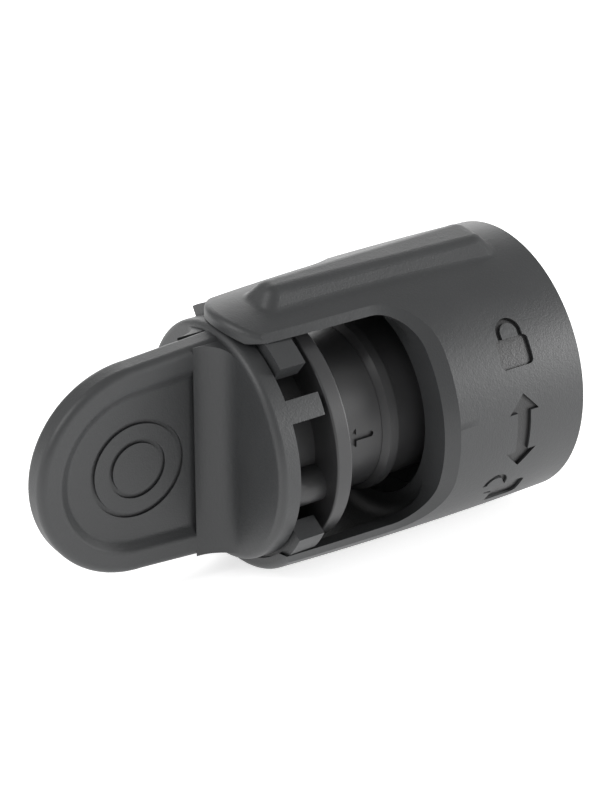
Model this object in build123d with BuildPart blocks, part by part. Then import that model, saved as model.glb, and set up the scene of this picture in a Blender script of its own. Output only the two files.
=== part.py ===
"""Swivel bracket for an umbrella: a flat tongue on a turning head, a fixed core with a pole socket,
and a twist collar whose two arms reach forward and hook behind the head's flange.

Frame: the origin is the centre of the pole socket's mouth, +X points out of the mouth along the
common axis, +Z is up. The tongue points along -X. Angles round the axis are counted from straight
up towards -Y, which is the right-hand rule about +X. Millimetres and degrees throughout.
"""

import os
from math import cos, radians, sin

from build123d import *

# ---- Overall sizes ------------------------------------------------------------------------------
body_length = 53.6  # flange face to the mouth of the socket
collar_radius = 21.9  # collar at its widest
pole_diameter = 16.0

# ---- Head: flange, tongue, ribs and spigot ------------------------------------------------------
flange_radius = 18.7
flange_thickness = 3.3
tongue_reach = 30.8  # flange face to the tip of the tongue
tongue_radius = 16.8  # round end of the tongue
tongue_root_half = 17.9  # half width where the tongue meets the flange
tongue_thickness = 4.4
panel_border = 3.5  # raised border round the sunk panel
panel_depth = 1.0
panel_slope = 1.6  # how far the panel's edge leans
panel_soft = 1.2  # rounding of the panel's edge and of its floor
tongue_soft = 1.2  # rounding of the tongue's edges
flange_soft = 1.1  # rounding of the flange's front edge
root_fillet = 4.6
rib_width = 3.5
rib_height = 2.0  # radial, from the flange's rim inwards
rib_length = 5.7
rib_angle = 56.4
spigot_radius = 6.0
emblem_disc_radius = 4.1
emblem_ring_radius = 7.2
emblem_line = 0.7
emblem_depth = 0.4

# ---- Core: hub, guide disc, neck, lip and socket tube -------------------------------------------
rib_end_gap = 0.9  # rib end to guide disc
disc_thickness = 2.7
disc_radius = 18.6
disc_soft = 0.35  # rounding of the guide disc's edges
hub_radius = 12.6
neck_radius = 12.9
neck_length = 9.3
lip_radius = 13.9
lip_length = 2.4
lip_chamfer = 0.9
tube_radius = 12.8
index_angle = 85.5
index_tip = 2.7  # guide disc's back to the arrow's tip
index_length = 5.0
index_shaft_length = 3.6
index_shaft = 0.95
index_head_length = 1.9
index_head_half = 1.55
index_depth = 0.45
socket_depth = 26.0
collet_wall = 1.8
collet_rim = 1.0  # rim at the mouth, in both directions
stop_disc_thickness = 1.2
stop_disc_hole = 2.5
hub_gap = 0.7  # flange to hub, where the friction washer sits
web_rear = 15.0  # flange face to the floor of the spring chamber
chamber_radius = 8.0

# ---- Detents between core and head --------------------------------------------------------------
detent_circle = 13.4
detent_angle = 108.0
boss_radius = 2.9
plunger_radius = 1.6
plunger_length = 4.2
plunger_travel = 0.8
detent_wire = 0.22
detent_turns = 5
click_angle = 15.0
cup_depth = 0.35
detent_floor = 0.8  # core left behind the spring
detent_side_gap = 0.15  # coil to the hole's wall
cup_steps = 3  # cups each side of the middle one

# ---- Collar: arms, windows, hooks, ridge and marks ----------------------------------------------
arm_centre = 2.5  # angle of the upper arm's middle line, which the collar mirrors about
window_middle = 79.0
window_half_angle = 49.0
window_end = 27.8  # flange face to the closed end of each window
window_corner = 6.0
nose_radius = 9.9  # round front end of the upper arm
heel_start = 3.2  # flange face to the front edge of the lower arm
rim_bevel_width = 2.2
rim_bevel_depth = 1.1
tip_round = 1.0  # rounding of the arms' front edges
hook_start = 3.7
hook_length = 4.4
hook_radius = 17.0
hook_half_angle = 36.0  # upper hook, each side of the arm's middle
lower_hook_from = 119.5
lower_hook_to = 210.0
tip_narrowing = 0.9  # the collar is this much slimmer at its front edge
mouth_narrowing = 0.1
ridge_start = 5.8  # flange face to the ridge's foot
ridge_end = 49.6
ridge_run = 3.0  # how far its two ends lean
ridge_top = 23.9  # axis to the ridge's crest
ridge_foot_front = 4.2  # half widths of the foot and of the crest, at each end
ridge_foot_back = 6.7
ridge_crest_front = 1.8
ridge_crest_back = 3.0
ridge_corner = 2.4
ridge_crest_corner = 1.7
ridge_round = 2.5
ridge_valley = 1.5
ridge_sink = 1.7  # how deep the ridge's foot stands in the arm
shoulder_round = 2.0
hook_root = 1.2  # how far the hooks reach into the arm's wall
sleeve_bore = 15.8
mark_depth = 0.5
mark_station = 42.0  # flange face to the middle of the marks
mark_middle_angle = 93.3
mark_spacing = 33.5
end_ring_thickness = 1.2
end_ring_bore = 14.9
end_ring_seat = 20.6
end_ring_lug = 0.9
lug_width = 1.1
lug_from = 2.0
lug_to = 42.0
mark_body_width = 6.0
mark_body_height = 4.6
shackle_radius = 2.3
shackle_band = 0.8
turn_length = 12.6
turn_shaft = 2.5
turn_head = 2.9
turn_head_half = 2.8
mark_corner = 0.8
shackle_rise = 0.8  # block to the middle of the shackle's bow
shackle_leg = 1.7
open_shift = 3.3  # how far the open shackle stands to the side
open_gap = 1.9
open_gap_width = 0.96

# ---- Collar bearing, travel stop and small parts ------------------------------------------------
liner_start = 33.0
liner_end_gap = 0.14  # liner to the washer behind it
stop_pin_radius = 1.5
stop_groove_depth = 1.4
pin_half_angle = 8.0  # angle that the stop pin covers, and a little more
twist_back = 41.5  # degrees towards the open padlock
twist_on = 25.5  # degrees towards the closed padlock
o_ring_section = 1.4
o_ring_inset = 3.0  # liner's end to the middle of a drag ring
clip_thickness = 1.0
clip_depth = 0.75
clip_inset = 1.0  # socket's mouth to the clip
clip_proud = 1.6
clip_opening = 9.0
clip_opening_height = 8.0
washer_thickness = 0.8
bolt_radius = 2.0
bolt_head_radius = 3.5
bolt_head_height = 4.0
bolt_chamfer = 0.4
bolt_tip_gap = 1.0  # bolt's tip to the insert's end
hex_half = 1.5  # half the width across the flats of the bolt's hexagon
hex_depth = 2.0
insert_radius = 3.2
insert_length = 9.0
bush_wall = 1.1
bush_flange_radius = 7.6
bush_flange = 1.0
friction_radius = 11.3
collet_slit = 1.2
thrust_thickness = 1.0
spring_radius = 6.2
spring_thickness = 0.5
spring_cone = 0.4
spring_count = 3

# ---- Fits ---------------------------------------------------------------------------------------
running = 0.06  # radial clearance of a turning fit
slip = 0.12  # radial clearance of a part that is pushed in by hand
face_gap = 0.12  # between faces that turn past each other
free_gap = 0.5  # between parts that never touch
end_gap = 0.3  # where a part stops short in its hole
touch = 0.02  # between parts that press on each other

# ---- Helps for cutting, joining and choosing edges ----------------------------------------------
past = 1.0  # how far a cut reaches past the surface
overlap = 0.1  # how far an added piece reaches into what it joins
near = 0.01  # how closely sizes are compared
sector_step = 30.0  # degrees between a sector's corners
skin_below = 2.0  # band round the collar's outer line where the ridge meets it
skin_above = 0.3
nose_margin = 2.0

# ---- Stations along the axis --------------------------------------------------------------------
flange_face = -body_length
flange_back = flange_face + flange_thickness
rib_end = flange_back + rib_length
disc_front = rib_end + rib_end_gap
disc_back = disc_front + disc_thickness
neck_end = disc_back + neck_length
lip_end = neck_end + lip_length
hub_front = flange_back + hub_gap
web_back = flange_face + web_rear
socket_floor = -socket_depth
window_back = flange_face + window_end
spigot_end = web_back - end_gap
bore_radius = pole_diameter / 2 + slip
collet_radius = bore_radius + collet_wall
bush_bore = spigot_radius + running
bush_radius = bush_bore + bush_wall
arm_inside = flange_radius + free_gap
arm_wall = collar_radius - arm_inside
tongue_tip = flange_face - tongue_reach
tip_back = flange_face + nose_radius - nose_margin  # edges in front of this are the arms' tips
window_half_width = collar_radius * sin(radians(window_half_angle))


def round_angle(angle):
    """Angle in the Y-Z plane's own terms, for an angle counted from straight up towards -Y."""
    return 90.0 + angle


def direction(angle):
    """Unit vector that points away from the axis at this angle."""
    return Vector(0, -sin(radians(angle)), cos(radians(angle)))


def from_axis(point):
    """Distance of a point from the common axis."""
    return Vector(0, point.Y, point.Z).length


def outward_plane(angle, reach=0.0):
    """Plane facing away from the axis: its x runs along the axis, its y runs round it."""
    return Plane(origin=direction(angle) * reach, x_dir=(1, 0, 0), z_dir=direction(angle))


def radial_plane(angle):
    """Plane through the axis: its x runs along the axis, its y points outwards at this angle."""
    return Plane(origin=(0, 0, 0), x_dir=(1, 0, 0), z_dir=Vector(1, 0, 0).cross(direction(angle)))


def sector(start, end, reach):
    """Wedge from the axis between two angles, for cutting a ring into an arc."""
    steps = max(2, int(abs(end - start) // sector_step) + 1)
    rim = [start + (end - start) * step / steps for step in range(steps + 1)]
    corners = [(0, 0)]
    corners += [(-reach * sin(radians(angle)), reach * cos(radians(angle))) for angle in rim]
    with BuildSketch() as wedge:
        with BuildLine():
            Polyline(*corners, close=True)
        make_face()
    return wedge.sketch


def turned_block(first_x, last_x, inner, outer):
    """Ring profile for a revolve about the axis."""
    with BuildSketch() as profile:
        with Locations((first_x, inner)):
            Rectangle(last_x - first_x, outer - inner, align=(Align.MIN, Align.MIN))
    return profile.sketch


# ================================================================================================
# Head
# ================================================================================================
tongue_middle = flange_face - (tongue_reach - tongue_radius)
tongue_back = flange_face + flange_thickness / 2


def tongue_outline(inset, root_x):
    """D shape: a round end that widens a little towards the flange."""
    top = tongue_root_half - inset
    round_end = tongue_radius - inset
    with BuildSketch() as outline:
        with BuildLine():
            upper = Line((root_x, top), (tongue_middle, round_end))
            ThreePointArc(upper @ 1, (tongue_middle - round_end, 0), (tongue_middle, -round_end))
            Line((tongue_middle, -round_end), (root_x, -top))
            Line((root_x, -top), (root_x, top))
        make_face()
    return outline.sketch


def along_tongue(edge, level):
    """Whether an edge runs along the tongue at this height above its middle, on either face."""
    return abs(abs(edge.center().Y) - level) < near and edge.bounding_box().size.X > past


def on_outline(edge):
    """Whether an edge is part of the tongue's outline, not of its sunk panel."""
    box = edge.bounding_box()
    return box.min.X < tongue_tip + near or max(-box.min.Z, box.max.Z) > tongue_root_half - near


def hollow_corner(side, face_y):
    """Section of the hollow corner between a face of the tongue and the flange."""
    with BuildSketch() as corner:
        with Locations((flange_face, side * (face_y - overlap))):
            Rectangle(root_fillet, root_fillet + overlap,
                      align=(Align.MAX, Align.MIN if side > 0 else Align.MAX))
        with Locations((flange_face - root_fillet, side * (face_y + root_fillet))):
            Circle(root_fillet, mode=Mode.SUBTRACT)
    return corner.sketch


panel_floor = tongue_thickness / 2 - panel_depth

# Hollow corners where the tongue's border and its sunk panel run up into the flange.
with BuildPart() as root_corners:
    for face_y, half in ((tongue_thickness / 2, tongue_root_half),
                         (panel_floor, tongue_root_half - panel_border - panel_slope)):
        for side in (-1, 1):
            with BuildSketch(Plane.XY):
                add(hollow_corner(side, face_y))
            extrude(amount=half, both=True)
    with BuildSketch(Plane.YZ.offset(flange_face - root_fillet - past)):
        Circle(flange_radius - flange_soft)
    extrude(amount=root_fillet + 2 * past, mode=Mode.INTERSECT)

with BuildPart() as swivel_head:
    with BuildSketch(Plane.XZ):
        add(tongue_outline(0, tongue_back))
    extrude(amount=tongue_thickness / 2, both=True)
    for side in (-1, 1):
        with BuildSketch(Plane.XZ.offset(side * tongue_thickness / 2)):
            add(tongue_outline(panel_border, tongue_back + past))
        with BuildSketch(Plane.XZ.offset(side * panel_floor)):
            add(tongue_outline(panel_border + panel_slope, tongue_back + past))
        loft(ruled=True, mode=Mode.SUBTRACT)
    for level in (tongue_thickness / 2, panel_floor):
        fillet(swivel_head.edges().filter_by(
            lambda e: along_tongue(e, level) and not on_outline(e)), panel_soft)
    fillet(swivel_head.edges().filter_by(
        lambda e: along_tongue(e, tongue_thickness / 2) and on_outline(e)), tongue_soft)
    with BuildSketch(Plane.YZ.offset(flange_face)):
        Circle(flange_radius)
    extrude(amount=flange_thickness)
    front_rim = swivel_head.edges().filter_by(GeomType.CIRCLE).filter_by(
        lambda e: abs(e.radius - flange_radius) < near and e.center().X < flange_back - near)
    fillet(front_rim, flange_soft)
    add(root_corners.part)
    # Spigot that turns in the core, with its hole for the threaded insert.
    with BuildSketch(Plane.YZ.offset(flange_back)):
        Circle(spigot_radius)
    extrude(amount=spigot_end - flange_back)
    with BuildSketch(Plane.YZ.offset(spigot_end)):
        Circle(insert_radius)
    extrude(amount=-(spigot_end - flange_back), mode=Mode.SUBTRACT)
    # Ribs that hold the hooks apart, flush with the flange's rim.
    with BuildSketch(Plane.YZ.offset(flange_back)):
        Circle(flange_radius)
        Circle(flange_radius - rib_height, mode=Mode.SUBTRACT)
        with Locations(Rot(0, 0, round_angle(rib_angle))):
            Rectangle(3 * flange_radius, rib_width, mode=Mode.INTERSECT)
    extrude(amount=rib_length)
    # Rings sunk into both panels.
    for side in (-1, 1):
        with BuildSketch(Plane.XZ.offset(side * panel_floor)):
            with Locations((tongue_middle, 0)):
                Circle(emblem_ring_radius + emblem_line)
                Circle(emblem_ring_radius, mode=Mode.SUBTRACT)
                Circle(emblem_disc_radius + emblem_line)
                Circle(emblem_disc_radius, mode=Mode.SUBTRACT)
        extrude(amount=-side * emblem_depth, mode=Mode.SUBTRACT)
    # Shallow cups in the flange's back that the spring plungers click into.
    for start in (detent_angle, detent_angle + 180):
        for step in range(-cup_steps, cup_steps + 1):
            cup = direction(start + step * click_angle) * detent_circle
            with Locations((flange_back + plunger_radius - cup_depth, cup.Y, cup.Z)):
                Sphere(plunger_radius, mode=Mode.SUBTRACT)
swivel_head.part.label = "swivel_head"


def index_arrow():
    """Arrow on the neck: an arrowhead towards the head and a round-ended shaft."""
    tip = disc_back + index_tip
    with BuildSketch() as arrow:
        with Locations((tip + index_length - index_shaft_length / 2, 0)):
            SlotOverall(index_shaft_length, index_shaft)
        with BuildLine():
            Polyline(
                (tip, 0),
                (tip + index_head_length, index_head_half),
                (tip + index_head_length, -index_head_half),
                close=True,
            )
        make_face()
    return arrow.sketch


# ================================================================================================
# Core
# ================================================================================================
clip_back = -clip_inset
clip_front = clip_back - clip_thickness
washer_back = clip_front - running
liner_front = flange_face + liner_start
liner_end = washer_back - washer_thickness - liner_end_gap
liner_bore = tube_radius + running
stop_station = (liner_front + liner_end) / 2
o_ring_stations = (liner_front + o_ring_inset, liner_end - o_ring_inset)
o_ring_floor = liner_bore - running - o_ring_section
detent_hole_end = disc_back - detent_floor
stop_groove_floor = tube_radius - stop_groove_depth

with BuildPart() as index_core:
    with BuildSketch(Plane.XY):
        add(turned_block(hub_front, disc_front, 0, hub_radius))
        add(turned_block(disc_front, disc_back, 0, disc_radius))
        add(turned_block(disc_back, neck_end, 0, neck_radius))
        add(turned_block(neck_end, lip_end, 0, lip_radius))
        add(turned_block(lip_end, 0, 0, tube_radius))
    revolve(axis=Axis.X)
    for angle in (detent_angle, detent_angle + 180):
        centre = direction(angle) * detent_circle
        with BuildSketch(Plane.YZ.offset(hub_front)):
            with Locations((centre.Y, centre.Z)):
                Circle(boss_radius)
        extrude(amount=disc_front - hub_front + disc_thickness / 2)
    rounds = index_core.edges().filter_by(GeomType.CIRCLE)
    fillet(rounds.filter_by(lambda e: abs(e.radius - disc_radius) < near), disc_soft)
    chamfer(
        rounds.filter_by(lambda e: abs(e.radius - lip_radius) < near).sort_by(Axis.X)[0],
        length=lip_chamfer,
    )
    # Through the middle: bush hole, spring chamber, seat of the stop disc, socket and its rim.
    with BuildSketch(Plane.XY):
        add(turned_block(hub_front - past, web_back, 0, bush_radius))
        add(turned_block(web_back, socket_floor - stop_disc_thickness, 0, chamber_radius))
        add(turned_block(socket_floor - stop_disc_thickness, past, 0, collet_radius))
        add(turned_block(-collet_rim, past, 0, collet_radius + collet_rim))
    revolve(axis=Axis.X, mode=Mode.SUBTRACT)
    # Round the tube: grooves for the two drag rings and the retaining clip.
    with BuildSketch(Plane.XY):
        for station in o_ring_stations:
            half = o_ring_section / 2 + running
            add(turned_block(station - half, station + half, o_ring_floor, tube_radius + past))
        add(turned_block(clip_front - running, clip_back + running,
                         tube_radius - clip_depth, tube_radius + past))
    revolve(axis=Axis.X, mode=Mode.SUBTRACT)
    # Arc grooves that the stop pins travel in; their ends are the ends of the twist.
    for start in (arm_centre, arm_centre + 180):
        with BuildSketch(Plane.YZ.offset(stop_station)):
            add(sector(start - twist_back - pin_half_angle, start + twist_on + pin_half_angle,
                       tube_radius * 2))
            Circle(stop_groove_floor, mode=Mode.SUBTRACT)
            Circle(tube_radius + past, mode=Mode.INTERSECT)
        extrude(amount=stop_pin_radius + running, both=True, mode=Mode.SUBTRACT)
    # Holes for the spring plungers.
    for angle in (detent_angle, detent_angle + 180):
        centre = direction(angle) * detent_circle
        with BuildSketch(Plane.YZ.offset(hub_front)):
            with Locations((centre.Y, centre.Z)):
                Circle(plunger_radius + running)
        extrude(amount=detent_hole_end - hub_front, mode=Mode.SUBTRACT)
    # Index arrow sunk into the neck on both sides, pointing at the head.
    for angle in (index_angle, index_angle + 180):
        with BuildSketch(outward_plane(angle, neck_radius - index_depth)):
            add(index_arrow())
        extrude(amount=index_depth * 3, mode=Mode.SUBTRACT)
index_core.part.label = "index_core"

with BuildPart() as axle_bush:
    with BuildSketch(Plane.XY):
        add(turned_block(hub_front, web_back + bush_flange, bush_bore, bush_radius))
        add(turned_block(web_back, web_back + bush_flange, bush_bore, bush_flange_radius))
    revolve(axis=Axis.X)
axle_bush.part.label = "axle_bush"

with BuildPart() as friction_washer:
    with BuildSketch(Plane.XY):
        add(turned_block(flange_back + face_gap, hub_front, spigot_radius + free_gap, friction_radius))
    revolve(axis=Axis.X)
friction_washer.part.label = "friction_washer"

with BuildPart() as socket_stop_disc:
    with BuildSketch(Plane.YZ.offset(socket_floor - stop_disc_thickness)):
        Circle(collet_radius - running)
        Circle(stop_disc_hole, mode=Mode.SUBTRACT)
    extrude(amount=stop_disc_thickness)
socket_stop_disc.part.label = "socket_stop_disc"

with BuildPart() as pole_collet:
    with BuildSketch(Plane.XY):
        add(turned_block(socket_floor, 0, bore_radius, collet_radius - running))
        add(turned_block(-collet_rim, 0, bore_radius, collet_radius + collet_rim - running))
    revolve(axis=Axis.X)
    with BuildSketch(Plane.YZ):
        with Locations((0, -collet_radius)):
            Rectangle(collet_slit, 2 * collet_radius)
    extrude(amount=-socket_depth - past, mode=Mode.SUBTRACT)
pole_collet.part.label = "pole_collet"

with BuildPart() as drag_rings:
    for station in o_ring_stations:
        with BuildSketch(Plane.XY):
            with Locations((station, liner_bore - running - o_ring_section / 2)):
                Circle(o_ring_section / 2)
        revolve(axis=Axis.X)
drag_rings.part.label = "drag_rings"

with BuildPart() as slide_washer:
    with BuildSketch(Plane.YZ.offset(washer_back - washer_thickness)):
        Circle(sleeve_bore - free_gap)
        Circle(tube_radius + running, mode=Mode.SUBTRACT)
    extrude(amount=washer_thickness)
slide_washer.part.label = "slide_washer"

with BuildPart() as retaining_clip:
    with BuildSketch(Plane.YZ.offset(clip_front)):
        Circle(tube_radius + clip_proud)
        Circle(tube_radius - clip_depth + running, mode=Mode.SUBTRACT)
        with Locations((0, -tube_radius)):
            Rectangle(clip_opening, clip_opening_height, mode=Mode.SUBTRACT)
    extrude(amount=clip_thickness)
retaining_clip.part.label = "retaining_clip"

# ================================================================================================
# Axle hardware, which turns with the head
# ================================================================================================
thrust_front = web_back + bush_flange + face_gap
thrust_back = thrust_front + thrust_thickness
disc_pitch = spring_thickness + spring_cone + touch
bolt_head_front = thrust_back + spring_count * disc_pitch + touch
bolt_tip = spigot_end - insert_length + bolt_tip_gap

with BuildPart() as thread_insert:
    with BuildSketch(Plane.YZ.offset(spigot_end)):
        Circle(insert_radius)
        Circle(bolt_radius + touch, mode=Mode.SUBTRACT)
    extrude(amount=-insert_length)
thread_insert.part.label = "thread_insert"

with BuildPart() as axle_bolt:
    with BuildSketch(Plane.YZ.offset(bolt_tip)):
        Circle(bolt_radius)
    extrude(amount=bolt_head_front - bolt_tip)
    with BuildSketch(Plane.YZ.offset(bolt_head_front)):
        Circle(bolt_head_radius)
    extrude(amount=bolt_head_height)
    chamfer(axle_bolt.edges().filter_by(GeomType.CIRCLE).sort_by(Axis.X)[-1], length=bolt_chamfer)
    with BuildSketch(Plane.YZ.offset(bolt_head_front + bolt_head_height)):
        RegularPolygon(hex_half, 6, major_radius=False)
    extrude(amount=-hex_depth, mode=Mode.SUBTRACT)
axle_bolt.part.label = "axle_bolt"

with BuildPart() as thrust_washer:
    with BuildSketch(Plane.YZ.offset(thrust_front)):
        Circle(chamber_radius - free_gap)
        Circle(bolt_radius + slip, mode=Mode.SUBTRACT)
    extrude(amount=thrust_thickness)
thrust_washer.part.label = "thrust_washer"

with BuildPart() as disc_springs:
    for number in range(spring_count):
        front = thrust_back + touch + number * disc_pitch
        inner_rise = spring_cone * (number % 2)
        outer_rise = spring_cone - inner_rise
        with BuildSketch(Plane.XY):
            with BuildLine():
                Polyline(
                    (front + inner_rise, bolt_radius + slip),
                    (front + inner_rise + spring_thickness, bolt_radius + slip),
                    (front + outer_rise + spring_thickness, spring_radius),
                    (front + outer_rise, spring_radius),
                    close=True,
                )
            make_face()
        revolve(axis=Axis.X)
disc_springs.part.label = "disc_springs"

# ================================================================================================
# Spring plungers of the head's clicks
# ================================================================================================
plunger_front = flange_back + face_gap
plunger_back = plunger_front + plunger_length
detent_spring_length = detent_hole_end - plunger_back - 2 * touch
detent_spring_radius = plunger_radius - detent_wire - detent_side_gap


def spring_plunger(angle):
    """Pin with a round nose towards the head's flange."""
    centre = direction(angle) * detent_circle
    with BuildPart() as plunger:
        with BuildSketch(Plane.YZ.offset(plunger_front + plunger_radius)):
            with Locations((centre.Y, centre.Z)):
                Circle(plunger_radius)
        extrude(amount=plunger_length - plunger_radius)
        with Locations((plunger_front + plunger_radius, centre.Y, centre.Z)):
            Sphere(plunger_radius)
    return plunger


def detent_spring(angle):
    """Small coil spring between the plunger and the closed end of its hole."""
    centre = direction(angle) * detent_circle
    coil_length = detent_spring_length - 2 * detent_wire
    start = Vector(plunger_back + touch + detent_wire, centre.Y, centre.Z)
    with BuildPart() as coil:
        with BuildLine():
            path = Helix(coil_length / detent_turns, coil_length, detent_spring_radius,
                         center=start, direction=(1, 0, 0))
        with BuildSketch(Plane(origin=path @ 0, z_dir=path % 0)):
            Circle(detent_wire)
        sweep()
    return coil


detent_plunger_near = spring_plunger(detent_angle)
detent_plunger_near.part.label = "detent_plunger_near"
detent_plunger_far = spring_plunger(detent_angle + 180)
detent_plunger_far.part.label = "detent_plunger_far"
detent_spring_near = detent_spring(detent_angle)
detent_spring_near.part.label = "detent_spring_near"
detent_spring_far = detent_spring(detent_angle + 180)
detent_spring_far.part.label = "detent_spring_far"

# ================================================================================================
# Collar and what turns with it
# ================================================================================================
mark_x = flange_face + mark_station


def collar_edge(lift):
    """Slightly barrelled outer line of the collar, lifted outwards by this much."""
    return ThreePointArc(
        (flange_face, collar_radius - tip_narrowing + lift),
        (window_back, collar_radius + lift),
        (0, collar_radius - mouth_narrowing + lift),
    )


def collar_solid_profile(lift):
    """Everything between the axis and the collar's outer line."""
    with BuildSketch() as profile:
        with BuildLine():
            outer = collar_edge(lift)
            Polyline(outer @ 1, (0, 0), (flange_face, 0), outer @ 0)
        make_face()
    return profile.sketch


def padlock(is_open):
    """Padlock mark: a block with a shackle, which stands to one side when it is open."""
    shift = -open_shift if is_open else 0.0
    with BuildSketch() as mark:
        with Locations((shift, mark_body_height / 2 + shackle_rise)):
            Circle(shackle_radius)
            Rectangle(2 * shackle_radius, shackle_leg, align=(Align.CENTER, Align.MAX))
            Circle(shackle_radius - shackle_band, mode=Mode.SUBTRACT)
            Rectangle(2 * (shackle_radius - shackle_band), shackle_leg,
                      align=(Align.CENTER, Align.MAX), mode=Mode.SUBTRACT)
        RectangleRounded(mark_body_width, mark_body_height, mark_corner)
        if is_open:
            with Locations((shift - shackle_radius + shackle_band / 2, mark_body_height / 2)):
                Rectangle(open_gap_width, open_gap, mode=Mode.SUBTRACT)
    return mark.sketch


def double_arrow():
    """Arrow with a head at both ends, running round the collar."""
    with BuildSketch() as mark:
        Rectangle(turn_shaft, turn_length - turn_head)
        for end in (-1, 1):
            tip = end * turn_length / 2
            with BuildLine():
                Polyline(
                    (0, tip),
                    (turn_head_half, tip - end * turn_head),
                    (-turn_head_half, tip - end * turn_head),
                    close=True,
                )
            make_face()
    return mark.sketch


# The marks as solids that reach from the bottom of the engraving out past the collar.
with BuildPart() as mark_cutter:
    for side in (0, 180):
        for step, outline in ((-1, padlock(False)), (0, double_arrow()), (1, padlock(True))):
            angle = mark_middle_angle + step * mark_spacing + side
            with BuildSketch(outward_plane(angle, sleeve_bore)):
                with Locations((mark_x, 0)):
                    add(outline)
            extrude(amount=collar_radius - sleeve_bore + past)
    with BuildSketch(Plane.XY):
        add(collar_solid_profile(-mark_depth))
    revolve(axis=Axis.X, mode=Mode.SUBTRACT)

# The thumb ridge on the middle line of the upper arm, wider towards the mouth.
ridge_foot = collar_radius - ridge_sink
with BuildPart() as ridge:
    for reach, lean, front_half, back_half, corner in (
        (ridge_foot, 0.0, ridge_foot_front, ridge_foot_back, ridge_corner),
        (ridge_top, ridge_run, ridge_crest_front, ridge_crest_back, ridge_crest_corner),
    ):
        with BuildSketch(outward_plane(arm_centre, reach)) as outline:
            front, back = flange_face + ridge_start + lean, flange_face + ridge_end - lean
            with BuildLine():
                Polyline((front, -front_half), (back, -back_half), (back, back_half),
                         (front, front_half), close=True)
            make_face()
            fillet(outline.vertices(), corner)
    loft(ruled=True)
    crest = ridge.faces().sort_by(lambda f: f.center().dot(direction(arm_centre)))[-1]
    fillet(crest.edges(), ridge_round)

# Everything that is cut away round the two arms, on the near side; the far side mirrors it.
with BuildPart() as near_opening:
    with BuildSketch(outward_plane(window_middle)) as window:
        with Locations((window_back, 0)):
            Rectangle(window_end + past, 2 * window_half_width, align=(Align.MAX, Align.CENTER))
        fillet(window.vertices().group_by(Axis.X)[-1], window_corner)
    extrude(amount=2 * collar_radius)
with BuildPart() as openings:
    add(near_opening.part)
    add(mirror(near_opening.part, about=radial_plane(arm_centre)))
    with BuildSketch(outward_plane(arm_centre)) as nose:
        with Locations((flange_face - past, 0)):
            Rectangle(nose_radius + past, 2 * (nose_radius + nose_margin),
                      align=(Align.MIN, Align.CENTER))
        with Locations((flange_face + nose_radius, 0)):
            Circle(nose_radius, mode=Mode.SUBTRACT)
    extrude(amount=2 * collar_radius)
    with BuildSketch(outward_plane(arm_centre + 180)):
        with Locations((flange_face - past, 0)):
            Rectangle(heel_start + past, 4 * collar_radius, align=(Align.MIN, Align.CENTER))
    extrude(amount=2 * collar_radius)

with BuildPart() as twist_collar:
    with BuildSketch(Plane.XY) as collar_profile:
        add(collar_solid_profile(0))
        Rectangle(4 * body_length, 2 * sleeve_bore, mode=Mode.SUBTRACT)
        with Locations((window_back, 0)):
            Rectangle(2 * body_length, 2 * arm_inside, align=(Align.MAX, Align.CENTER),
                      mode=Mode.SUBTRACT)
        Rectangle(2 * end_ring_thickness, 2 * end_ring_seat, mode=Mode.SUBTRACT)
        seat = Vector(window_back, arm_inside)
        fillet(collar_profile.vertices().sort_by_distance(seat)[0], shoulder_round)
    revolve(axis=Axis.X)
    add(ridge.part)
    valley = twist_collar.edges(Select.LAST).filter_by(
        lambda e: -skin_below < from_axis(e @ 0.5) - collar_radius < skin_above
        and (e @ 0.5).dot(direction(arm_centre)) > 0)
    fillet(valley, ridge_valley)
    add(openings.part, mode=Mode.SUBTRACT)
    barrel = twist_collar.faces().sort_by(SortBy.AREA)[-1]
    rims = twist_collar.edges(Select.LAST).filter_by(GeomType.BSPLINE).filter_by(
        lambda e: (e @ 0.5).X > tip_back
        and all(from_axis(e @ t) > collar_radius - tip_narrowing - hook_root for t in (0, 0.5, 1)))
    chamfer(rims, length=rim_bevel_width, length2=rim_bevel_depth, reference=barrel)
    tips = twist_collar.edges().filter_by(GeomType.BSPLINE).filter_by(
        lambda e: (e @ 0.5).X < tip_back and e.length > arm_wall
        and from_axis(e @ 0.5) > collar_radius - tip_narrowing - overlap)
    fillet(tips, tip_round)
    # Hooks: arcs inside the arm tips that reach into the groove behind the flange.
    for start, end in ((arm_centre - hook_half_angle, arm_centre + hook_half_angle),
                       (lower_hook_from, lower_hook_to)):
        with BuildSketch(radial_plane(start)):
            add(turned_block(flange_face + hook_start, flange_face + hook_start + hook_length,
                             hook_radius, arm_inside + hook_root))
        revolve(axis=Axis.X, revolution_arc=end - start)
    add(mark_cutter.part, mode=Mode.SUBTRACT)
twist_collar.part.label = "twist_collar"

with BuildPart() as end_ring:
    with BuildSketch(Plane.XY):
        add(turned_block(-end_ring_thickness, 0, end_ring_bore, end_ring_seat - running))
    revolve(axis=Axis.X)
    with BuildSketch(Plane.YZ):
        add(sector(lug_from, lug_to, 2 * collar_radius))
        Circle(end_ring_seat - running, mode=Mode.INTERSECT)
        Circle(end_ring_seat - lug_width, mode=Mode.SUBTRACT)
    extrude(amount=end_ring_lug)
end_ring.part.label = "end_ring"

with BuildPart() as sleeve_liner:
    with BuildSketch(Plane.XY):
        add(turned_block(liner_front, liner_end, liner_bore, sleeve_bore - running))
    revolve(axis=Axis.X)
    for angle in (arm_centre, arm_centre + 180):
        with BuildSketch(outward_plane(angle)):
            with Locations((stop_station, 0)):
                Circle(stop_pin_radius + running)
        extrude(amount=collar_radius, mode=Mode.SUBTRACT)
sleeve_liner.part.label = "sleeve_liner"

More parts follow.
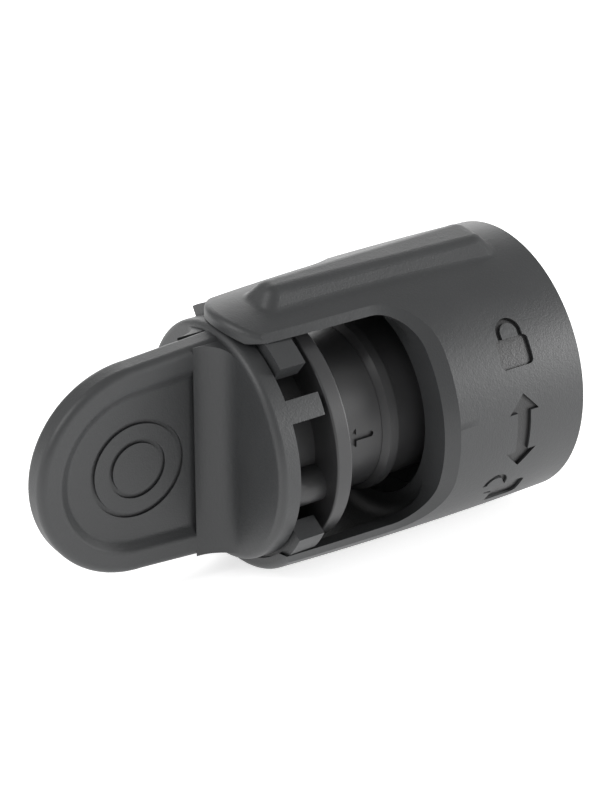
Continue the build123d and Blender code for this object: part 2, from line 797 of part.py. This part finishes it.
with BuildPart() as stop_pins:
    for angle in (arm_centre, arm_centre + 180):
        with BuildSketch(outward_plane(angle, stop_groove_floor + free_gap / 2)):
            with Locations((stop_station, 0)):
                Circle(stop_pin_radius)
        extrude(amount=sleeve_bore - end_gap - stop_groove_floor - free_gap / 2)
stop_pins.part.label = "stop_pins"

# ================================================================================================
# One file per piece
# ================================================================================================
pieces = (
    swivel_head, thread_insert, axle_bolt, thrust_washer, disc_springs,
    index_core, axle_bush, friction_washer, socket_stop_disc, pole_collet, drag_rings,
    slide_washer, retaining_clip,
    detent_plunger_near, detent_plunger_far, detent_spring_near, detent_spring_far,
    twist_collar, sleeve_liner, stop_pins, end_ring,
)
os.makedirs("parts", exist_ok=True)
for piece in pieces:
    export_step(piece.part, f"parts/{piece.part.label}.step")
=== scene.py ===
import math

import bpy
from mathutils import Matrix, Vector


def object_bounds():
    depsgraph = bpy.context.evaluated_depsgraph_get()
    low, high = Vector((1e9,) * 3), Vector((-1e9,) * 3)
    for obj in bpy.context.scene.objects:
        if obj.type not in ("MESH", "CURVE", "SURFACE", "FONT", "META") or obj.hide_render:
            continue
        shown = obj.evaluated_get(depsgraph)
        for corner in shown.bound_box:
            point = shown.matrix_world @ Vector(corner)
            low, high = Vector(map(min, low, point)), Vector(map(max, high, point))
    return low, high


# %% [markdown]
# This is the end fitting of an umbrella: a flat tongue on a turning head, a twist collar with two arms,
# and a core with a socket for the pole. Nearly all that shows is charcoal nylon, moulded in one colour,
# so the finish and the light do the work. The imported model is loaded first, as a fixed frame. Every
# part of it already has its true shape and place, so each one keeps its mesh and gets a finish.

# %% load the frame
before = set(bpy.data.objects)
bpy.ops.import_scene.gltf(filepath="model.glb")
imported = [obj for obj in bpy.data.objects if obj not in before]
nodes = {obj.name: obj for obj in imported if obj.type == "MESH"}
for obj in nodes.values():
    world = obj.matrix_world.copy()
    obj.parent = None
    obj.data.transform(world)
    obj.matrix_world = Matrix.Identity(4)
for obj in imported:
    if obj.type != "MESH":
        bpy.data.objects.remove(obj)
cad_low, cad_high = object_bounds()
MM = 0.001
print("parts:", len(nodes), "size in mm:", [round(side / MM, 1) for side in cad_high - cad_low])

# %% [markdown]
# Colours are easiest to choose as hex values, the way a paint chart gives them. A shader counts in
# linear light instead, so one function turns the first into the second.

# %% colours


def linear(hex_colour):
    """The linear colour that a shader wants, from an sRGB hex value."""
    parts = [int(hex_colour[start : start + 2], 16) / 255 for start in (1, 3, 5)]
    return [c / 12.92 if c <= 0.04045 else ((c + 0.055) / 1.055) ** 2.4 for c in parts] + [1.0]


print("charcoal in linear light:", [round(part, 3) for part in linear("#2a2b2c")])

# %% [markdown]
# A finish is a small tree of nodes. Each node needs its settings, its values and its links, so one
# helper does all three: an input that is given a socket is linked, and any other input is set.

# %% one node at a time


def add_node(tree, kind, settings=None, **inputs):
    """Adds a shader node; an input is called by its name, or by its number as _0, _1 and so on."""
    node = tree.nodes.new(kind)
    for key, value in (settings or {}).items():
        setattr(node, key, value)
    for key, value in inputs.items():
        socket = node.inputs[int(key[1:])] if key[1:].isdigit() else node.inputs[key.replace("_", " ")]
        if isinstance(value, bpy.types.NodeSocket):
            tree.links.new(value, socket)
        else:
            socket.default_value = value
    return node


# %% [markdown]
# All the finishes here share a plan. A slow, cloudy pattern drifts the colour and the gloss a little,
# as flow and handling do, and a fine grain dents the surface. The grain's size is a real one in
# millimetres. The pattern reads Object coordinates, so it stays on a part when the part moves.

# %% the shared plan of a finish


def finish(name, dark, light, rough, gloss_drift, cloud_mm, grain_mm, grain_depth_mm,
           ior=1.5, metallic=0.0):
    """A material with a cloudy colour and gloss and a fine grain; gives its tree's parts back too."""
    material = bpy.data.materials.new(name)
    material.use_nodes = True
    tree = material.node_tree
    shader = tree.nodes["Principled BSDF"]
    where = add_node(tree, "ShaderNodeTexCoord").outputs["Object"]
    cloud = add_node(tree, "ShaderNodeTexNoise", Vector=where, Scale=1 / (cloud_mm * MM), Detail=3.0)
    tint = add_node(tree, "ShaderNodeMix", {"data_type": "RGBA"}, _0=cloud.outputs[0],
                    _6=linear(dark), _7=linear(light))
    gloss = add_node(tree, "ShaderNodeMapRange", Value=cloud.outputs[0],
                     To_Min=rough - gloss_drift, To_Max=rough + gloss_drift)
    grain = add_node(tree, "ShaderNodeTexNoise", Vector=where, Scale=1 / (grain_mm * MM), Detail=2.0)
    bump = add_node(tree, "ShaderNodeBump", Height=grain.outputs[0], Distance=grain_depth_mm * MM)
    tree.links.new(tint.outputs[2], shader.inputs["Base Color"])
    tree.links.new(gloss.outputs[0], shader.inputs["Roughness"])
    tree.links.new(bump.outputs[0], shader.inputs["Normal"])
    shader.inputs["IOR"].default_value = ior
    shader.inputs["Metallic"].default_value = metallic
    print(name, "grain", grain_mm, "mm")
    return material, tree, where, bump


finished = set()


def wears(material, *names):
    """Puts one finish on whole parts."""
    for name in names:
        nodes[name].data.materials.clear()
        nodes[name].data.materials.append(material)
        finished.add(name)


# %% [markdown]
# The collar and the head are glass-filled nylon from a spark-eroded mould. Spark erosion leaves tiny
# craters in the steel, and the plastic copies them as an even, dull grain. Above it lies a faint
# orange-peel swell about a millimetre wide, where thick walls shrank as they cooled. Two grains of
# different size, one bump on top of the other, give both. The real grain is nearer 0.05 mm, and it
# is drawn coarser here, or it wouldn't show.

# %% spark-eroded nylon
SWELL_MM, SWELL_DEPTH_MM = 0.9, 0.02
grained_nylon, tree, where, fine_bump = finish(
    "glass_filled_nylon_spark_eroded", dark="#2a2b2c", light="#323334", rough=0.47, gloss_drift=0.05,
    cloud_mm=9.0, grain_mm=0.3, grain_depth_mm=0.03, ior=1.53)
swell = add_node(tree, "ShaderNodeTexNoise", Vector=where, Scale=1 / (SWELL_MM * MM), Detail=1.0)
swell_bump = add_node(tree, "ShaderNodeBump", Height=swell.outputs[0], Distance=SWELL_DEPTH_MM * MM)
tree.links.new(swell_bump.outputs[0], fine_bump.inputs["Normal"])
wears(grained_nylon, "twist_collar", "swivel_head")

# %% [markdown]
# The padlocks and arrows are sunk half a millimetre into the collar. The mould's raised marks were
# stoned smooth, not eroded, so the sunk faces are sleeker than the grain round them, and their colour
# is painted darker as painted shade in the recess. Only those faces and the feet of their walls lie
# this far from the axis along this stretch, so the distance from the axis picks them out.

# %% smooth floors of the marks, with painted shade
MARK_FLOOR_MM, MARK_FLOOR_BAND_MM = 21.4, 0.2
MARK_MIDDLE_MM, MARK_REACH_MM = -11.6, 9.0
MARK_ROUGH = 0.42
across = add_node(tree, "ShaderNodeVectorMath", {"operation": "MULTIPLY"}, _0=where, _1=(0, 1, 1))
radius = add_node(tree, "ShaderNodeVectorMath", {"operation": "LENGTH"}, _0=across.outputs[0])
along = add_node(tree, "ShaderNodeSeparateXYZ", _0=where)
at_floor = add_node(tree, "ShaderNodeMath", {"operation": "COMPARE"}, _0=radius.outputs[1],
                    _1=MARK_FLOOR_MM * MM, _2=MARK_FLOOR_BAND_MM * MM)
at_marks = add_node(tree, "ShaderNodeMath", {"operation": "COMPARE"}, _0=along.outputs[0],
                    _1=MARK_MIDDLE_MM * MM, _2=MARK_REACH_MM * MM)
in_mark = add_node(tree, "ShaderNodeMath", {"operation": "MULTIPLY"}, _0=at_floor.outputs[0],
                   _1=at_marks.outputs[0])
shader = tree.nodes["Principled BSDF"]
plain_tint = shader.inputs["Base Color"].links[0].from_socket
plain_gloss = shader.inputs["Roughness"].links[0].from_socket
# The sunk floors are painted near black: painted shade in the half-millimetre recess.
mark_painted_shade_tint = add_node(tree, "ShaderNodeMix", {"data_type": "RGBA"}, _0=in_mark.outputs[0], _6=plain_tint,
                     _7=linear("#161617"))
mark_gloss = add_node(tree, "ShaderNodeMix", {"data_type": "FLOAT"}, _0=in_mark.outputs[0],
                      _2=plain_gloss, _3=MARK_ROUGH)
tree.links.new(mark_painted_shade_tint.outputs[2], shader.inputs["Base Color"])
tree.links.new(mark_gloss.outputs[0], shader.inputs["Roughness"])
print("mark floors at", MARK_FLOOR_MM, "mm from the axis")

# %% [markdown]
# The core turns inside the collar, so its mould was stoned smooth where parts rub. It is the same nylon
# with a finer, shallower grain and a little more gloss. The ring at the mouth is made the same way.

# %% stoned-mould nylon
smooth_nylon, *_ = finish(
    "glass_filled_nylon_stoned_mould", dark="#29292a", light="#303031", rough=0.42, gloss_drift=0.04,
    cloud_mm=7.0, grain_mm=0.22, grain_depth_mm=0.008, ior=1.53)
wears(smooth_nylon, "index_core", "end_ring")

# %% [markdown]
# The liner and the split collet are acetal, a waxy plastic that slides well without oil. It is nearly
# black, with a soft sheen and almost no grain, so only the slow drift of its gloss is left.

# %% black acetal
acetal, *_ = finish(
    "acetal_black_moulded", dark="#17171a", light="#1e1e21", rough=0.33, gloss_drift=0.05,
    cloud_mm=4.0, grain_mm=0.4, grain_depth_mm=0.003, ior=1.48)
wears(acetal, "sleeve_liner", "pole_collet", "socket_stop_disc")

# %% [markdown]
# The drag rings are nitrile rubber, moulded and then tumbled to take the flash off. Rubber scatters
# light widely, so it is very rough, and its bloom makes it a cloudy grey-black.

# %% rubber and dry-running washers
rubber, *_ = finish(
    "nitrile_rubber_tumbled", dark="#141414", light="#222221", rough=0.8, gloss_drift=0.06,
    cloud_mm=1.5, grain_mm=0.15, grain_depth_mm=0.006, ior=1.52)
wears(rubber, "drag_rings")

# %% [markdown]
# The washer under the head is pressed friction fibre, brown with pale threads, and the one behind
# the liner is graphite-filled plastic, grey and slippery. Both are die-cut from sheet.

# %% pressed fibre and filled plastic
fibre, *_ = finish(
    "friction_fibre_pressed", dark="#4a3f35", light="#75685a", rough=0.85, gloss_drift=0.05,
    cloud_mm=0.6, grain_mm=0.2, grain_depth_mm=0.02)
filled_plastic, *_ = finish(
    "graphite_filled_plastic_die_cut", dark="#4b4c4e", light="#5c5d5f", rough=0.55, gloss_drift=0.05,
    cloud_mm=2.0, grain_mm=0.25, grain_depth_mm=0.006, ior=1.38)
wears(fibre, "friction_washer")
wears(filled_plastic, "slide_washer")

# %% [markdown]
# Turned metal carries the path of the lathe tool as fine rings round its axis. A wave pattern in
# bands along X gives them, because the whole fitting is turned about X. It is laid on a metal finish
# as a second bump. The real feed is about 0.1 mm, and 0.25 mm is drawn.

# %% turned metals
FEED_MM, FEED_DEPTH_MM = 0.25, 0.004
# A wave pattern repeats every 2 pi / (20 * scale), so this scale gives one ring for each turn.
FEED_SCALE = 2 * math.pi / (20 * FEED_MM * MM)


def turned_metal(name, dark, light, rough):
    """A metal with tool rings round the fitting's axis."""
    material, tree, where, bump = finish(name, dark, light, rough, gloss_drift=0.06, cloud_mm=2.5,
                                         grain_mm=0.2, grain_depth_mm=0.002, metallic=1.0)
    rings = add_node(tree, "ShaderNodeTexWave", {"bands_direction": "X"}, Vector=where,
                     Scale=FEED_SCALE, Distortion=0.4)
    ring_bump = add_node(tree, "ShaderNodeBump", Height=rings.outputs[1], Distance=FEED_DEPTH_MM * MM)
    tree.links.new(ring_bump.outputs[0], bump.inputs["Normal"])
    return material


zinc = turned_metal("steel_zinc_plated", "#a9aeb4", "#c3c8cd", rough=0.34)
brass = turned_metal("brass_turned", "#b08d4a", "#c9a866", rough=0.28)
steel = turned_metal("steel_ground_hardened", "#8f9296", "#a7aaae", rough=0.22)
wears(zinc, "axle_bolt", "thrust_washer", "retaining_clip")
wears(brass, "thread_insert")
wears(steel, "stop_pins", "detent_plunger_near", "detent_plunger_far")

# %% [markdown]
# Springs are drawn wire or stamped strip, heat-treated until they go blue-brown and then oiled. The
# bush is pressed from bronze powder and stays full of oil, so it is dull and finely pitted.

# %% spring steel and sintered bronze
spring_steel, *_ = finish(
    "spring_steel_oil_tempered", dark="#55565a", light="#6b6a68", rough=0.36, gloss_drift=0.06,
    cloud_mm=1.0, grain_mm=0.1, grain_depth_mm=0.002, metallic=1.0)
bronze, *_ = finish(
    "bronze_sintered_oil_filled", dark="#6d4f2f", light="#93703f", rough=0.5, gloss_drift=0.08,
    cloud_mm=1.2, grain_mm=0.12, grain_depth_mm=0.008, metallic=1.0)
wears(spring_steel, "disc_springs", "detent_spring_near", "detent_spring_far")
wears(bronze, "axle_bush")
print("parts still without a finish:", sorted(set(nodes) - finished))

# %% [markdown]
# Dark plastic is shown on a white floor with big soft lights. A large floor plane just under the
# fitting fills the view, and its pale paper bounces light up into the undersides.

# %% floor
FLOOR_SIZE, FLOOR_GLOW = 8, 0.6
bpy.ops.object.select_all(action="DESELECT")
bpy.ops.mesh.primitive_plane_add(size=FLOOR_SIZE, location=(0, 0, cad_low.z))
floor = bpy.context.active_object
floor.name = "floor"
paper = bpy.data.materials.new("paper_uncoated_white")
paper.use_nodes = True
paper.node_tree.nodes["Principled BSDF"].inputs["Base Color"].default_value = linear("#fbfbfb")
paper.node_tree.nodes["Principled BSDF"].inputs["Roughness"].default_value = 0.9
# A lit table: its own glow keeps the shadow under the fitting pale.
paper.node_tree.nodes["Principled BSDF"].inputs["Emission Color"].default_value = linear("#ffffff")
paper.node_tree.nodes["Principled BSDF"].inputs["Emission Strength"].default_value = FLOOR_GLOW
floor.data.materials.append(paper)
print("floor at", round(floor.location.z / MM, 1), "mm")

# %% [markdown]
# The view is set by a turn about the upright axis and a drop below level. The lights are hung from
# the same three directions, so the view comes first.

# %% the camera's directions
TURN, DROP = math.radians(34.0), math.radians(26.73)
RIGHT = Vector((math.cos(TURN), -math.sin(TURN), 0))
LOOK = Vector((math.sin(TURN) * math.cos(DROP), math.cos(TURN) * math.cos(DROP), -math.sin(DROP)))
UP = RIGHT.cross(LOOK)
FLANGE = Vector((-0.0536, 0, 0))
AIM = FLANGE + Vector((0.012, 0, 0))
SIDE_MM, RISE_MM, DISTANCE_MM = -13.014, -6.114, 395.1
SENSOR_MM, LENS_MM = 36, 118.53
print("camera looks along", [round(part, 2) for part in LOOK])

# %% camera
camera_data = bpy.data.cameras.new("camera")
camera = bpy.data.objects.new("camera", camera_data)
bpy.context.scene.collection.objects.link(camera)
place = FLANGE - (RIGHT * SIDE_MM + UP * RISE_MM + LOOK * DISTANCE_MM) * MM
camera.matrix_world = Matrix.Translation(place) @ Matrix((RIGHT, UP, -LOOK)).transposed().to_4x4()
camera_data.sensor_width = SENSOR_MM
camera_data.lens = LENS_MM
bpy.context.scene.camera = camera
bpy.context.scene.view_settings.view_transform = "Standard"
print("camera distance in mm:", round((place - AIM).length / MM))

# %% [markdown]
# Even white light from all round, with the floor's own glow, keeps the floor white. Three soft boxes
# then draw the shape: one from the front left lights the tongue and the flange, one above and behind
# skims the tops, and a small one from the right lifts the collar's mouth.

# %% lights
ROOM_STRENGTH = 0.6
world = bpy.data.worlds.new("white_room")
bpy.context.scene.world = world
world.use_nodes = True
world.node_tree.nodes["Background"].inputs["Color"].default_value = (1, 1, 1, 1)
world.node_tree.nodes["Background"].inputs["Strength"].default_value = ROOM_STRENGTH


def soft_box(name, direction, distance, size, watts):
    """A square area light that faces the fitting from this direction; its sizes are in metres."""
    data = bpy.data.lights.new(name, "AREA")
    data.size, data.energy = size, watts
    lamp = bpy.data.objects.new(name, data)
    bpy.context.scene.collection.objects.link(lamp)
    towards = direction.normalized()
    turn = towards.to_track_quat("Z", "Y").to_matrix().to_4x4()
    lamp.matrix_world = Matrix.Translation(AIM + towards * distance) @ turn
    print(name, watts, "W")


soft_box("front_left_box", UP * 0.6 - RIGHT * 1.0 - LOOK * 0.9, 0.6, 0.3, 1.4)
soft_box("back_box", UP * 0.9 + LOOK * 1.0 - RIGHT * 0.2, 0.6, 0.45, 1.3)
soft_box("mouth_box", RIGHT * 1.0 + UP * 0.2 - LOOK * 0.1, 0.5, 0.2, 1.8)
